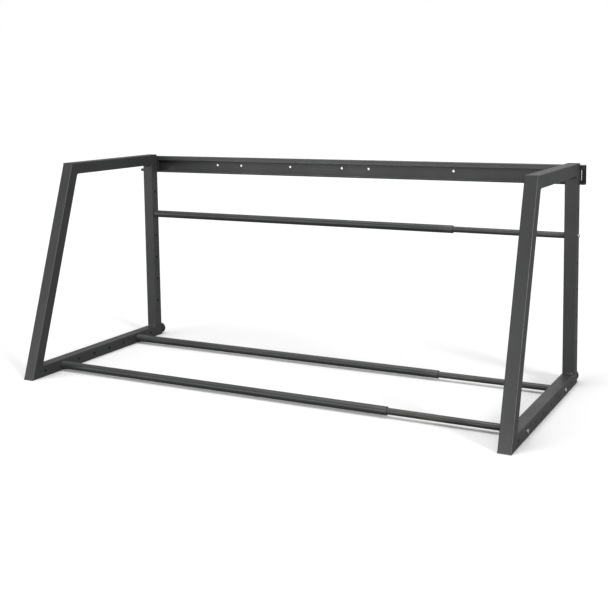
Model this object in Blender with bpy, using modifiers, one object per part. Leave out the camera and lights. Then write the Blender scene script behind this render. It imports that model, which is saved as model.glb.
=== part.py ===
"""Extending tyre storage rack for a wall or a floor.

Two trapezoid end frames of welded square steel tube are joined by three telescopic
round tubes. Tyres stand on the two low tubes and lean back on the high one. Each end
frame hooks into a lipped channel rail that is screwed to the wall, and a rubber buffer
at the foot of each frame keeps it parallel to that wall.

Metres. +X is along the rack to its right, +Y towards the wall, +Z up. The origin is on
the floor, in the middle of the rack's box.
"""

from math import atan2, cos, hypot, pi, radians, sin, tan

import bmesh
import bpy
from mathutils import Euler, Vector

# Overall sizes of the rack
WIDTH = 1.600
HEIGHT = 0.682
BASE_DEPTH = 0.706
TOP_DEPTH = 0.478
WALL_DISTANCE = 0.0245

# Square tube of the end frames
TUBE = 0.038
TUBE_WALL = 0.002
CORNER_RADIUS = 0.0035
GAP = 0.0003

# Telescopic tubes, all three alike
OUTER_RADIUS = 0.0127
OUTER_BORE = 0.0099
OUTER_LENGTH = 1.165
INNER_RADIUS = 0.0095
INNER_BORE = 0.0080
INNER_LENGTH = 0.600
PLUG_LENGTH = 0.022

# Rows of adjusting holes in the end frames, numbered from the front and from the foot
HOLE_PITCH = 0.082
HOLE_RADIUS = 0.0042
BASE_HOLES = 8
BASE_FIRST_HOLE = 0.062
UPRIGHT_HOLES = 6
UPRIGHT_FIRST_HOLE = 0.134
FRONT_TUBE_HOLE = 1
REAR_TUBE_HOLE = 6
LEAN_TUBE_HOLE = 4

# Bolts with a hexagon socket: dome heads on the tubes, tall straight heads on the hooks
BOLT_RADIUS = 0.0038
BOLT_THREAD_IN_PLUG = 0.018
HEAD_RADIUS = 0.0069
HEAD_HEIGHT = 0.0046
TALL_HEAD_RADIUS = 0.0050
TALL_HEAD_HEIGHT = 0.0125
TALL_HEAD_CHAMFER = 0.0006
SOCKET_RADIUS = 0.0029
SOCKET_DEPTH = 0.0028
THREAD_BORE = 0.0042

# Wall rail, a rolled channel open to the front
RAIL_LENGTH = 1.626
RAIL_TOP = HEIGHT - 0.0065
RAIL_HEIGHT = 0.060
RAIL_DEPTH = 0.023
RAIL_SHEET = 0.002
UPPER_LIP = 0.015
LOWER_LIP = 0.006
RAIL_BEND = 0.003
RAIL_HOLE_RADIUS = 0.004
RAIL_HOLE_MODULE = 0.100
RAIL_FIRST_HOLE = -0.511
RAIL_HOLE_STEPS = (0, 1, 3, 5, 6, 9)
RAIL_SLOT_X = 0.7982
RAIL_SLOT_WIDTH = 0.0035
RAIL_SLOT_HEIGHT = 0.036

# Hook block that holds an end frame in the rail
HOOK_WIDTH = 0.042
HOOK_PLATE = 0.0045
HOOK_PLATE_HEIGHT = 0.050
HOOK_PLATE_SETBACK = 0.0045
HOOK_NECK_HEIGHT = 0.030
HOOK_STEM_WIDTH = 0.030
HOOK_STEM_HEIGHT = 0.024
HOOK_STEM_DEPTH = 0.0355
HOOK_STEM_PROUD = 0.0008
HOOK_BOLT_SETBACK = 0.0085

# Plastic end caps, rubber buffers and their screws
CAP_THICKNESS = 0.0025
CAP_SKIRT = 0.012
CAP_SKIRT_WALL = 0.002
BUFFER_RADIUS = 0.0185
BUFFER_ROUNDING = 0.003
BUFFER_RECESS = 0.0075
BUFFER_RECESS_DEPTH = 0.010
SCREW_CLEARANCE = 0.0029
SCREW_RADIUS = 0.0025
SCREW_HEAD_RADIUS = 0.0055
SCREW_HEAD_HEIGHT = 0.0035
SCREW_LENGTH = 0.024

# Places that follow from the sizes above
FRONT_Y = -(BASE_DEPTH + WALL_DISTANCE) / 2
FRAME_X = (WIDTH - TUBE) / 2
UPRIGHT_DEPTH = BASE_DEPTH - TUBE / 2
LEAN_Z = UPRIGHT_FIRST_HOLE + LEAN_TUBE_HOLE * HOLE_PITCH
HOOK_Z = UPRIGHT_FIRST_HOLE + UPRIGHT_HOLES * HOLE_PITCH
HOOK_BOLT_DEPTH = BASE_DEPTH - TUBE + HOOK_BOLT_SETBACK
RAIL_FRONT = BASE_DEPTH + WALL_DISTANCE - RAIL_DEPTH
RAIL_BOTTOM = RAIL_TOP - RAIL_HEIGHT

# Each telescopic tube: its name, its depth from the front corner and its height
TUBE_PLACES = (
    ("front", BASE_FIRST_HOLE + FRONT_TUBE_HOLE * HOLE_PITCH, TUBE / 2),
    ("rear", BASE_FIRST_HOLE + REAR_TUBE_HOLE * HOLE_PITCH, TUBE / 2),
    ("lean", UPRIGHT_DEPTH, LEAN_Z),
)


# ---------------------------------------------------------------- scene and materials

def clear_scene():
    """Remove every object, so that the script starts from nothing."""
    for old in list(bpy.data.objects):
        bpy.data.objects.remove(old, do_unlink=True)


def new_collection(name):
    """A collection linked to the scene."""
    group = bpy.data.collections.new(name)
    bpy.context.scene.collection.children.link(group)
    return group


def new_material(name, colour, roughness, metallic=0.0):
    """A plain Principled material."""
    surface = bpy.data.materials.new(name)
    surface.use_nodes = True
    shader = surface.node_tree.nodes["Principled BSDF"]
    shader.inputs["Base Color"].default_value = (*colour, 1.0)
    shader.inputs["Roughness"].default_value = roughness
    shader.inputs["Metallic"].default_value = metallic
    surface.diffuse_color = (*colour, 1.0)
    return surface


def new_empty(name, location):
    """A parent for the pieces that move together."""
    empty = bpy.data.objects.new(name, None)
    PARTS.objects.link(empty)
    empty.location = location
    return empty


def add_piece(name, mesh, parent, surface):
    """One physical piece of the rack."""
    piece = bpy.data.objects.new(name, mesh)
    PARTS.objects.link(piece)
    piece.parent = parent
    mesh.materials.append(surface)
    return piece


def add_tool(name, mesh, parent):
    """A shape that only cuts or joins another, left out of the rack itself."""
    tool = bpy.data.objects.new(name, mesh)
    CUTTERS.objects.link(tool)
    tool.parent = parent
    tool.hide_render = True
    tool.display_type = "WIRE"
    return tool


def combine(piece, tool, operation="DIFFERENCE"):
    """Cut the tool's shape out of a piece, or join it on with UNION."""
    step = piece.modifiers.new(tool.name, "BOOLEAN")
    step.operation = operation
    step.object = tool


# ---------------------------------------------------------------- shape helpers

def outline_mesh(name, points, thickness):
    """A flat outline in the local XY plane, made solid to both sides of it."""
    curve = bpy.data.curves.new(name, "CURVE")
    curve.dimensions = "2D"
    curve.fill_mode = "BOTH"
    curve.extrude = thickness / 2
    line = curve.splines.new("POLY")
    line.points.add(len(points) - 1)
    for point, (across, up) in zip(line.points, points):
        point.co = (across, up, 0, 1)
    line.use_cyclic_u = True
    holder = bpy.data.objects.new(name, curve)
    bpy.context.scene.collection.objects.link(holder)
    drawn = holder.evaluated_get(bpy.context.evaluated_depsgraph_get())
    mesh = bpy.data.meshes.new_from_object(drawn)
    bpy.data.objects.remove(holder, do_unlink=True)
    shape = bmesh.new()
    shape.from_mesh(mesh)
    bmesh.ops.remove_doubles(shape, verts=shape.verts, dist=0.00001)
    shape.to_mesh(mesh)
    shape.free()
    return mesh


def side_view(item):
    """Turn an outline's local X to the depth and its local Y to the height."""
    item.rotation_euler = (pi / 2, 0, pi / 2)
    return item


def rounded_outline(corners, steps=3):
    """An outline whose corners, each with its own radius, become arcs."""
    points = []
    for index, (x, y, radius) in enumerate(corners):
        here = Vector((x, y))
        before = (Vector(corners[index - 1][:2]) - here).normalized()
        after = (Vector(corners[(index + 1) % len(corners)][:2]) - here).normalized()
        if radius == 0:
            points.append((x, y))
            continue
        half = before.angle(after) / 2
        centre = here + (before + after).normalized() * (radius / sin(half))
        start = here + before * (radius / tan(half)) - centre
        end = here + after * (radius / tan(half)) - centre
        turn = start.angle_signed(end)
        for step in range(steps + 1):
            angle = atan2(start.y, start.x) - turn * step / steps
            points.append((centre.x + radius * cos(angle), centre.y + radius * sin(angle)))
    return points


def round_long_edges(mesh, along, radius):
    """Round the corners that run along a tube, and leave its end edges sharp."""
    shape = bmesh.new()
    shape.from_mesh(mesh)
    corners = []
    for edge in shape.edges:
        run = (edge.verts[1].co - edge.verts[0].co).normalized()
        if abs(run.dot(along)) > 0.999 and edge.calc_face_angle(0) > radians(60):
            corners.append(edge)
    bmesh.ops.bevel(shape, geom=corners, offset=radius, segments=3, profile=0.5, affect="EDGES")
    shape.to_mesh(mesh)
    shape.free()


def box_mesh(name, low, high):
    """A box between two corners."""
    size = Vector(high) - Vector(low)
    middle = (Vector(high) + Vector(low)) / 2
    shape = bmesh.new()
    bmesh.ops.create_cube(shape, size=1.0)
    bmesh.ops.scale(shape, vec=size, verts=shape.verts)
    bmesh.ops.translate(shape, vec=middle, verts=shape.verts)
    mesh = bpy.data.meshes.new(name)
    shape.to_mesh(mesh)
    shape.free()
    return mesh


def pins_mesh(name, places, radius, length, turn, sides=14):
    """Round pins at each place, turned from the upright by Euler angles."""
    shape = bmesh.new()
    for place in places:
        pin = bmesh.ops.create_cone(
            shape, cap_ends=True, segments=sides, radius1=radius, radius2=radius, depth=length)
        bmesh.ops.rotate(shape, matrix=Euler(turn).to_matrix(), verts=pin["verts"])
        bmesh.ops.translate(shape, vec=place, verts=pin["verts"])
    mesh = bpy.data.meshes.new(name)
    shape.to_mesh(mesh)
    shape.free()
    return mesh


def turned_piece(name, profile, parent, surface, closed=False, sides=24):
    """A turned solid: (radius, height) points, down the outer side, about local Z."""
    shape = bmesh.new()
    points = [shape.verts.new((radius, 0, height)) for radius, height in profile]
    for first, second in zip(points, points[1:]):
        shape.edges.new((first, second))
    if closed:
        shape.edges.new((points[-1], points[0]))
    mesh = bpy.data.meshes.new(name)
    shape.to_mesh(mesh)
    shape.free()
    piece = add_piece(name, mesh, parent, surface)
    turn = piece.modifiers.new("turn", "SCREW")
    turn.axis = "Z"
    turn.angle = 2 * pi
    turn.steps = sides
    turn.render_steps = sides
    turn.use_merge_vertices = True
    turn.merge_threshold = 0.00001
    turn.use_smooth_shade = True
    return piece


def dome_profile(radius, height, shank_radius, shank_length):
    """A domed head with its seat at height 0 and a plain shank below it."""
    arc = [(0.0, height)]
    for step in range(1, 5):
        angle = radians(90 - 20 * step)
        arc.append((radius * cos(angle), height * (0.15 + 0.85 * sin(angle))))
    return arc + [
        (radius, 0.0),
        (shank_radius, 0.0),
        (shank_radius, -shank_length),
        (0.0, -shank_length),
    ]


def tall_profile(radius, height, shank_radius, shank_length):
    """A straight-sided head with its seat at height 0 and a plain shank below it."""
    return [
        (0.0, height),
        (radius - TALL_HEAD_CHAMFER, height),
        (radius, height - TALL_HEAD_CHAMFER),
        (radius, 0.0),
        (shank_radius, 0.0),
        (shank_radius, -shank_length),
        (0.0, -shank_length),
    ]


def bolt(name, parent, surface, profile):
    """A turned bolt with a hexagon socket, its head towards local +Z."""
    head_height = profile[0][1]
    piece = turned_piece(name, profile, parent, surface, sides=20)
    top = (0, 0, head_height)
    socket = pins_mesh(name + "_socket", [top], SOCKET_RADIUS, 2 * SOCKET_DEPTH, (0, 0, 0), sides=6)
    combine(piece, add_tool(name + "_socket", socket, piece))
    return piece


# ---------------------------------------------------------------- end frames

def frame_corners():
    """The mitre corners of an end frame, seen from the side, as (depth, height)."""
    lean = BASE_DEPTH - TOP_DEPTH
    across = TUBE * hypot(lean, HEIGHT) / HEIGHT
    slope = lean / HEIGHT
    foot = Vector((0, 0))
    foot_inside = Vector((slope * TUBE + across, TUBE))
    shoulder = Vector((lean, HEIGHT))
    shoulder_inside = Vector((slope * (HEIGHT - TUBE) + across, HEIGHT - TUBE))
    return foot, foot_inside, shoulder, shoulder_inside


def square_tube(name, corners, parent):
    """A square tube from its side outline: outer start and end, inner end and start."""
    outer_start, outer_end, inner_end, inner_start = corners
    mesh = outline_mesh(name, corners, TUBE)
    along = (outer_end - outer_start).normalized()
    inward = inner_start - outer_start
    inward = (inward - along * inward.dot(along)).normalized()
    round_long_edges(mesh, along.to_3d(), CORNER_RADIUS)
    piece = side_view(add_piece(name, mesh, parent, POWDER_COAT))
    reach = along * 2 * TUBE
    near = inward * TUBE_WALL
    far = inward * (TUBE - TUBE_WALL)
    bore = [outer_start - reach + near, outer_end + reach + near]
    bore += [outer_end + reach + far, outer_start - reach + far]
    hollow = outline_mesh(name + "_bore", bore, TUBE - 2 * TUBE_WALL)
    combine(piece, side_view(add_tool(name + "_bore", hollow, parent)))
    return piece


def drill_across(piece, places, parent):
    """A row of adjusting holes through both side walls of a square tube."""
    row = [(0, depth, height) for depth, height in places]
    pins = pins_mesh(piece.name + "_holes", row, HOLE_RADIUS, 2 * TUBE, (0, pi / 2, 0))
    combine(piece, add_tool(piece.name + "_holes", pins, parent))


def bottom_rail(side, parent, foot, foot_inside):
    """The low tube that carries the two tyre tubes, with its row of holes."""
    half_angle = atan2(HEIGHT, BASE_DEPTH - TOP_DEPTH) / 2
    start = Vector((GAP / 2 / sin(half_angle), 0))
    end = BASE_DEPTH - CAP_THICKNESS - GAP
    corners = [foot + start, Vector((end, 0)), Vector((end, TUBE)), foot_inside + start]
    piece = square_tube(side + "_bottom_rail", corners, parent)
    row = [(BASE_FIRST_HOLE + step * HOLE_PITCH, TUBE / 2) for step in range(BASE_HOLES)]
    drill_across(piece, row, parent)


def front_upright(side, parent, foot, foot_inside, shoulder, shoulder_inside):
    """The leaning tube in front, mitred at both ends."""
    along = (shoulder - foot).normalized()
    foot_angle = atan2(HEIGHT, BASE_DEPTH - TOP_DEPTH) / 2
    low = along * (GAP / 2 / sin(foot_angle))
    high = along * (GAP / 2 / cos(foot_angle))
    corners = [foot + low, shoulder - high, shoulder_inside - high, foot_inside + low]
    square_tube(side + "_front_upright", corners, parent)


def top_rail(side, parent, shoulder, shoulder_inside):
    """The top tube, mitred in front and butted against the rear upright."""
    half_angle = (pi - atan2(HEIGHT, BASE_DEPTH - TOP_DEPTH)) / 2
    start = Vector((GAP / 2 / sin(half_angle), 0))
    end = BASE_DEPTH - TUBE - GAP
    corners = [shoulder + start, Vector((end, HEIGHT))]
    corners += [Vector((end, HEIGHT - TUBE)), shoulder_inside + start]
    square_tube(side + "_top_rail", corners, parent)


def rear_upright(side, parent):
    """The tube at the wall: its row of holes, the hook bolt's entry and the hook block's slot."""
    low = TUBE + GAP
    high = HEIGHT - CAP_THICKNESS - GAP
    corners = [Vector((BASE_DEPTH, low)), Vector((BASE_DEPTH, high))]
    corners += [Vector((BASE_DEPTH - TUBE, high)), Vector((BASE_DEPTH - TUBE, low))]
    piece = square_tube(side + "_rear_upright", corners, parent)
    row = [(UPRIGHT_DEPTH, UPRIGHT_FIRST_HOLE + step * HOLE_PITCH) for step in range(UPRIGHT_HOLES)]
    drill_across(piece, row, parent)
    entry = [(-TUBE / 2, HOOK_BOLT_DEPTH, HOOK_Z)]
    pin = pins_mesh(piece.name + "_entry", entry, HOLE_RADIUS, TUBE, (0, pi / 2, 0))
    combine(piece, add_tool(piece.name + "_entry", pin, parent))
    half_width = HOOK_STEM_WIDTH / 2 + GAP
    half_height = HOOK_STEM_HEIGHT / 2 + GAP
    slot_low = (-half_width, BASE_DEPTH - 2 * TUBE_WALL, HOOK_Z - half_height)
    slot_high = (half_width, BASE_DEPTH + TUBE_WALL, HOOK_Z + half_height)
    slot = box_mesh(piece.name + "_slot", slot_low, slot_high)
    combine(piece, add_tool(piece.name + "_slot", slot, parent))


# ---------------------------------------------------------------- hooks, caps, buffers

def hook_block(side, parent):
    """A T-shaped block: its plate slides in the wall rail, its stem is in the upright."""
    plate_front = BASE_DEPTH + HOOK_PLATE_SETBACK
    plate_back = plate_front + HOOK_PLATE
    plate_low = RAIL_BOTTOM + RAIL_SHEET + GAP
    plate_high = plate_low + HOOK_PLATE_HEIGHT
    middle = (RAIL_BOTTOM + LOWER_LIP + RAIL_TOP - UPPER_LIP) / 2
    neck_low = middle - HOOK_NECK_HEIGHT / 2
    neck_high = middle + HOOK_NECK_HEIGHT / 2
    neck_front = BASE_DEPTH + GAP
    section = [
        (neck_front, neck_low), (plate_front, neck_low),
        (plate_front, plate_low), (plate_back, plate_low),
        (plate_back, plate_high), (plate_front, plate_high),
        (plate_front, neck_high), (neck_front, neck_high),
    ]
    name = side + "_hook_block"
    piece = side_view(add_piece(name, outline_mesh(name, section, HOOK_WIDTH), parent, HOOK_STEEL))
    stem_low = (-HOOK_STEM_WIDTH / 2, BASE_DEPTH - HOOK_STEM_DEPTH, HOOK_Z - HOOK_STEM_HEIGHT / 2)
    stem_high = (HOOK_STEM_WIDTH / 2, BASE_DEPTH + HOOK_STEM_PROUD, HOOK_Z + HOOK_STEM_HEIGHT / 2)
    stem = add_tool(name + "_stem", box_mesh(name + "_stem", stem_low, stem_high), parent)
    combine(piece, stem, "UNION")
    place = [(0, HOOK_BOLT_DEPTH, HOOK_Z)]
    bore = pins_mesh(name + "_bore", place, THREAD_BORE, 2 * TUBE, (0, pi / 2, 0))
    combine(piece, add_tool(name + "_bore", bore, parent))


def hook_bolt(side, parent):
    """The cross bolt of a hook block, with its head on the frame's left face."""
    profile = tall_profile(TALL_HEAD_RADIUS, TALL_HEAD_HEIGHT, BOLT_RADIUS, TUBE - TUBE_WALL)
    piece = bolt(side + "_hook_bolt", parent, BLACK_STEEL, profile)
    piece.location = (-TUBE / 2 - GAP, HOOK_BOLT_DEPTH, HOOK_Z)
    piece.rotation_euler = (0, -pi / 2, 0)


def end_cap(name, parent, hole=False):
    """A plastic insert that closes a square tube, its flange on top at local height 0."""
    square = [(-TUBE / 2, -TUBE / 2, CORNER_RADIUS), (TUBE / 2, -TUBE / 2, CORNER_RADIUS)]
    square += [(TUBE / 2, TUBE / 2, CORNER_RADIUS), (-TUBE / 2, TUBE / 2, CORNER_RADIUS)]
    mesh = outline_mesh(name, rounded_outline(square), CAP_THICKNESS)
    for corner in mesh.vertices:
        corner.co.z -= CAP_THICKNESS / 2
    piece = add_piece(name, mesh, parent, BLACK_PLASTIC)
    outside = TUBE / 2 - TUBE_WALL - GAP
    inside = outside - CAP_SKIRT_WALL
    foot = -CAP_THICKNESS - CAP_SKIRT
    middle = -CAP_THICKNESS / 2
    skirt = box_mesh(name + "_skirt", (-outside, -outside, foot), (outside, outside, middle))
    combine(piece, add_tool(name + "_skirt", skirt, piece), "UNION")
    hollow_low = (-inside, -inside, foot - CAP_SKIRT)
    hollow_high = (inside, inside, -CAP_THICKNESS)
    hollow = box_mesh(name + "_hollow", hollow_low, hollow_high)
    combine(piece, add_tool(name + "_hollow", hollow, piece))
    if hole:
        pin = pins_mesh(name + "_hole", [(0, 0, 0)], SCREW_CLEARANCE, TUBE, (0, 0, 0))
        combine(piece, add_tool(name + "_hole", pin, piece))
    return piece


def wall_buffer(side, parent):
    """A round rubber buffer with a stepped bore, and the screw sunk into it."""
    thickness = WALL_DISTANCE - GAP
    rim = []
    for step in range(4):
        angle = radians(90 - 30 * step)
        radius = BUFFER_RADIUS - BUFFER_ROUNDING * (1 - cos(angle))
        rim.append((radius, thickness - BUFFER_ROUNDING * (1 - sin(angle))))
    seat = thickness - BUFFER_RECESS_DEPTH
    bore = [(SCREW_CLEARANCE, 0), (SCREW_CLEARANCE, seat), (BUFFER_RECESS, seat)]
    profile = rim + [(BUFFER_RADIUS, 0)] + bore + [(BUFFER_RECESS, thickness)]
    piece = turned_piece(side + "_buffer", profile, parent, RUBBER, closed=True, sides=32)
    piece.location = (0, BASE_DEPTH + GAP, TUBE / 2)
    piece.rotation_euler = (-pi / 2, 0, 0)
    screw_profile = dome_profile(SCREW_HEAD_RADIUS, SCREW_HEAD_HEIGHT, SCREW_RADIUS, SCREW_LENGTH)
    screw = bolt(side + "_buffer_screw", parent, ZINC, screw_profile)
    screw.location = (0, BASE_DEPTH + GAP + seat + GAP, TUBE / 2)
    screw.rotation_euler = (-pi / 2, 0, 0)


def end_frame(side, parent):
    """Everything that is welded, pressed or bolted to one end frame."""
    foot, foot_inside, shoulder, shoulder_inside = frame_corners()
    bottom_rail(side, parent, foot, foot_inside)
    front_upright(side, parent, foot, foot_inside, shoulder, shoulder_inside)
    top_rail(side, parent, shoulder, shoulder_inside)
    rear_upright(side, parent)
    hook_block(side, parent)
    hook_bolt(side, parent)
    cap = end_cap(side + "_top_cap", parent)
    cap.location = (0, UPRIGHT_DEPTH, HEIGHT)
    plug = end_cap(side + "_base_cap", parent, hole=True)
    plug.location = (0, BASE_DEPTH, TUBE / 2)
    plug.rotation_euler = (-pi / 2, 0, 0)
    wall_buffer(side, parent)


# ---------------------------------------------------------------- telescopic tubes

def round_tube(name, radius, bore, length, parent, surface):
    """A round tube along local Z, from height 0 upwards."""
    profile = [(radius, length), (radius, 0), (bore, 0), (bore, length)]
    return turned_piece(name, profile, parent, surface, closed=True, sides=24)


def tube_end(side, inward, tube_name, depth, height, sizes, parent):
    """One half of a telescopic tube with the plug in its end and its bolt."""
    label, radius, bore, length = sizes
    face = inward * (TUBE / 2 + GAP)
    towards = (0, inward * pi / 2, 0)
    tube = round_tube(tube_name + label, radius, bore, length, parent, POWDER_COAT)
    tube.location = (face, depth, height)
    tube.rotation_euler = towards
    name = side + "_" + tube_name
    plug = round_tube(name + "_plug", bore - GAP, THREAD_BORE, PLUG_LENGTH, parent, ZINC)
    plug.location = (face, depth, height)
    plug.rotation_euler = towards
    shank_length = TUBE + 2 * GAP + BOLT_THREAD_IN_PLUG
    profile = dome_profile(HEAD_RADIUS, HEAD_HEIGHT, BOLT_RADIUS, shank_length)
    fastener = bolt(name + "_bolt", parent, ZINC, profile)
    fastener.location = (-inward * (TUBE / 2 + GAP), depth, height)
    fastener.rotation_euler = (0, -inward * pi / 2, 0)


# ---------------------------------------------------------------- wall rail

def rail_section():
    """The channel's outline: a tall lip above the opening and a short one below."""
    front = RAIL_FRONT
    back = BASE_DEPTH + WALL_DISTANCE
    sheet = RAIL_SHEET
    inner_bend = RAIL_BEND - sheet
    high = RAIL_TOP
    low = RAIL_BOTTOM
    corners = [
        (front, high - UPPER_LIP, 0), (front, high, RAIL_BEND),
        (back, high, RAIL_BEND), (back, low, RAIL_BEND),
        (front, low, RAIL_BEND), (front, low + LOWER_LIP, 0),
        (front + sheet, low + LOWER_LIP, 0), (front + sheet, low + sheet, inner_bend),
        (back - sheet, low + sheet, inner_bend), (back - sheet, high - sheet, inner_bend),
        (front + sheet, high - sheet, inner_bend), (front + sheet, high - UPPER_LIP, 0),
    ]
    return rounded_outline(corners)


def wall_rail(parent):
    """The channel along the wall, with round screw holes and a slot near each end."""
    mesh = outline_mesh("wall_rail", rail_section(), RAIL_LENGTH)
    piece = side_view(add_piece("wall_rail", mesh, parent, POWDER_COAT))
    web = BASE_DEPTH + WALL_DISTANCE
    height = (RAIL_TOP + RAIL_BOTTOM) / 2
    row = [(RAIL_FIRST_HOLE + step * RAIL_HOLE_MODULE, web, height) for step in RAIL_HOLE_STEPS]
    pins = pins_mesh("wall_rail_holes", row, RAIL_HOLE_RADIUS, RAIL_DEPTH, (pi / 2, 0, 0), sides=16)
    combine(piece, add_tool("wall_rail_holes", pins, parent))
    for way, label in ((-1, "left"), (1, "right")):
        name = "wall_rail_slot_" + label
        middle = Vector((way * RAIL_SLOT_X, web, height))
        half = Vector((RAIL_SLOT_WIDTH / 2, 2 * RAIL_SHEET, RAIL_SLOT_HEIGHT / 2))
        combine(piece, add_tool(name, box_mesh(name, middle - half, middle + half), parent))


# ---------------------------------------------------------------- the whole rack

clear_scene()
PARTS = new_collection("tyre_rack")
CUTTERS = new_collection("tyre_rack_cutters")

POWDER_COAT = new_material("powder_coat", (0.052, 0.054, 0.056), 0.48)
HOOK_STEEL = new_material("hook_steel", (0.020, 0.020, 0.021), 0.50)
BLACK_STEEL = new_material("black_steel", (0.030, 0.030, 0.032), 0.40, 0.8)
ZINC = new_material("zinc", (0.42, 0.41, 0.39), 0.35, 1.0)
BLACK_PLASTIC = new_material("black_plastic", (0.020, 0.020, 0.021), 0.45)
RUBBER = new_material("rubber", (0.014, 0.014, 0.014), 0.75)

OUTER_TUBE = ("_outer_tube", OUTER_RADIUS, OUTER_BORE, OUTER_LENGTH)
INNER_TUBE = ("_inner_tube", INNER_RADIUS, INNER_BORE, INNER_LENGTH)

LEFT = new_empty("left_frame", (-FRAME_X, FRONT_Y, 0))
RIGHT = new_empty("right_frame", (FRAME_X, FRONT_Y, 0))
WALL = new_empty("wall_side", (0, FRONT_Y, 0))

wall_rail(WALL)
end_frame("left", LEFT)
end_frame("right", RIGHT)
for tube, tube_depth, tube_height in TUBE_PLACES:
    tube_end("left", 1, tube, tube_depth, tube_height, OUTER_TUBE, LEFT)
    tube_end("right", -1, tube, tube_depth, tube_height, INNER_TUBE, RIGHT)
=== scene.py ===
"""Looks of the extending tyre storage rack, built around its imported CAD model.

Metres throughout, in the CAD's own frame: +X along the rack, +Y towards the wall, +Z up.
"""
from math import atan2, cos, hypot, pi, radians, sin, sqrt

import bmesh
import bpy
from mathutils import Matrix, Vector, noise


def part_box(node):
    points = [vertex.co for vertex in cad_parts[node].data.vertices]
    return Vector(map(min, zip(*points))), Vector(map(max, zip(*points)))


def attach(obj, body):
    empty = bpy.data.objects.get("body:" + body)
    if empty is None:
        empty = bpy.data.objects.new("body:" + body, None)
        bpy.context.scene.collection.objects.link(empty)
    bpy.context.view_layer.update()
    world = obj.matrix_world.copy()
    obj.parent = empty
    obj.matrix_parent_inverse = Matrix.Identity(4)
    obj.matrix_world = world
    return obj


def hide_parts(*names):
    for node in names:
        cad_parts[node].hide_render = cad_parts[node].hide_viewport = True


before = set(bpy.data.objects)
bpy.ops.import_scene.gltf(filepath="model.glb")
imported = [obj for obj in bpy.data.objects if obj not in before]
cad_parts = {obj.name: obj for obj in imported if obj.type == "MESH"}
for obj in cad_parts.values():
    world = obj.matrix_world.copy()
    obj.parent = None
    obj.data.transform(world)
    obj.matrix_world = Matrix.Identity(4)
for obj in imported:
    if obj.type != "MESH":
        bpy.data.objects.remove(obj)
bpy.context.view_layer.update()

# Square tube of the end frames
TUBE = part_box("left_bottom_rail")[1].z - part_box("left_bottom_rail")[0].z
TUBE_WALL = 0.002
CORNER_RADIUS = 0.0035
BORE_CORNER = 0.0016
CUT_CHAMFER = 0.0004
MITRE_CORNER = 0.0009
MITRE_BLEND = 0.005
HOLE_RADIUS = 0.0042
HOLE_SIDES = 32
HOLE_PITCH = 0.082
BASE_FIRST_HOLE = 0.062
BASE_HOLES = 8
UPRIGHT_FIRST_HOLE = 0.134
UPRIGHT_HOLES = 6
SEAM = 0.0003
RIM_ROUNDING = 0.0004
FOOT_FILLET = 0.0040
SHOULDER_FILLET = 0.0044
UPRIGHT_FOOT_FILLET = 0.0056
UPRIGHT_HEAD_FILLET = 0.0042
FILLET_BULGE = 0.34
SEAM_LEG = 0.0024
SEAM_HEIGHT = 0.00035
MITRE_SEAM_HEIGHT = 0.00028
BEAD_STEP = 0.00045
BEAD_RIPPLE = 0.0019
BEAD_LAG = 0.0011
BEAD_ROOT = 0.0008
BEAD_POINTS = 8

# Telescopic tubes
OUTER_BORE = 0.0099
INNER_BORE = 0.0080
OUTER_ROUNDING = 0.0008
INNER_ROUNDING = 0.0006
BORE_BREAK = 0.0003
TUBE_BAYS = 24
TUBE_SIDES = 64

# Wall rail
RAIL_SHEET = 0.002
UPPER_LIP = 0.015
LOWER_LIP = 0.006
RAIL_BEND = 0.003
RAIL_LIP_ROUNDING = 0.0005
RAIL_END_BREAK = 0.0002
RAIL_HOLE_RADIUS = 0.004
RAIL_HOLE_MODULE = 0.100
RAIL_FIRST_HOLE = -0.511
RAIL_HOLE_STEPS = (0, 1, 3, 5, 6, 9)
RAIL_SLOT_X = 0.7982
RAIL_SLOT_WIDTH = 0.0035
RAIL_SLOT_HEIGHT = 0.036

# Fasteners
BOLT_RADIUS = 0.0038
BOLT_SIDES = 40
DOME_HEIGHT = 0.0046
TALL_HEAD_HEIGHT = 0.0125
SCREW_RADIUS = 0.0025
SCREW_HEAD_HEIGHT = 0.0035
SOCKET_RADIUS = 0.0029
SOCKET_DEPTH = 0.0028
THREAD_PITCH = 0.00125
THREAD_DEPTH = 0.0005
SHANK_POINT = 0.0006
SHANK_NECK = 0.0028
SEAT_BREAK = 0.0004
DOME_FLAT = 0.52
DOME_EDGE = 0.0006
TALL_HEAD_ROUNDING = 0.0009
HOOK_ROUNDING = 0.0005
PLUG_ROUNDING = 0.0003

# Caps and buffers
CAP_FLANGE = 0.0025
CAP_CLEARANCE = 0.0003
CAP_SKIRT_WALL = 0.002
SCREW_CLEARANCE = 0.0029
BUFFER_SIDES = 72
BUFFER_RIM = 0.0030
BUFFER_RECESS = 0.0075
BUFFER_RECESS_DEPTH = 0.010
BUFFER_PARTING = 0.52
BUFFER_GROOVE = 0.0005
BUFFER_RINGS = (0.0135, 0.0105)

# Finish colours, linear
COAT_GRIME = (0.047, 0.038, 0.032)
# Lighter colour on the rounded corners: partly abrasion, partly a painted highlight
COAT_ABRADED_AND_HIGHLIGHT = (0.140, 0.142, 0.144)
COAT_DUST = (0.22, 0.21, 0.20)
COAT_SCUFF = (0.165, 0.152, 0.140)
BORE_SHADE = (0.006, 0.006, 0.006)
PLASTIC_DARK = (0.012, 0.011, 0.011)
PLASTIC_LIGHT = (0.022, 0.021, 0.020)
RUBBER_DARK = (0.012, 0.012, 0.012)
RUBBER_BLOOM = (0.034, 0.033, 0.031)

# Distances within which vertices count as one
CUT_MERGE = 0.000002
CAD_MERGE = 0.000005

SIDES = ("left", "right")
TUBES = ("front", "rear", "lean")
X_AXIS = Vector((1, 0, 0))
Y_AXIS = Vector((0, 1, 0))
Z_AXIS = Vector((0, 0, 1))


# ---------------------------------------------------------------- materials

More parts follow.
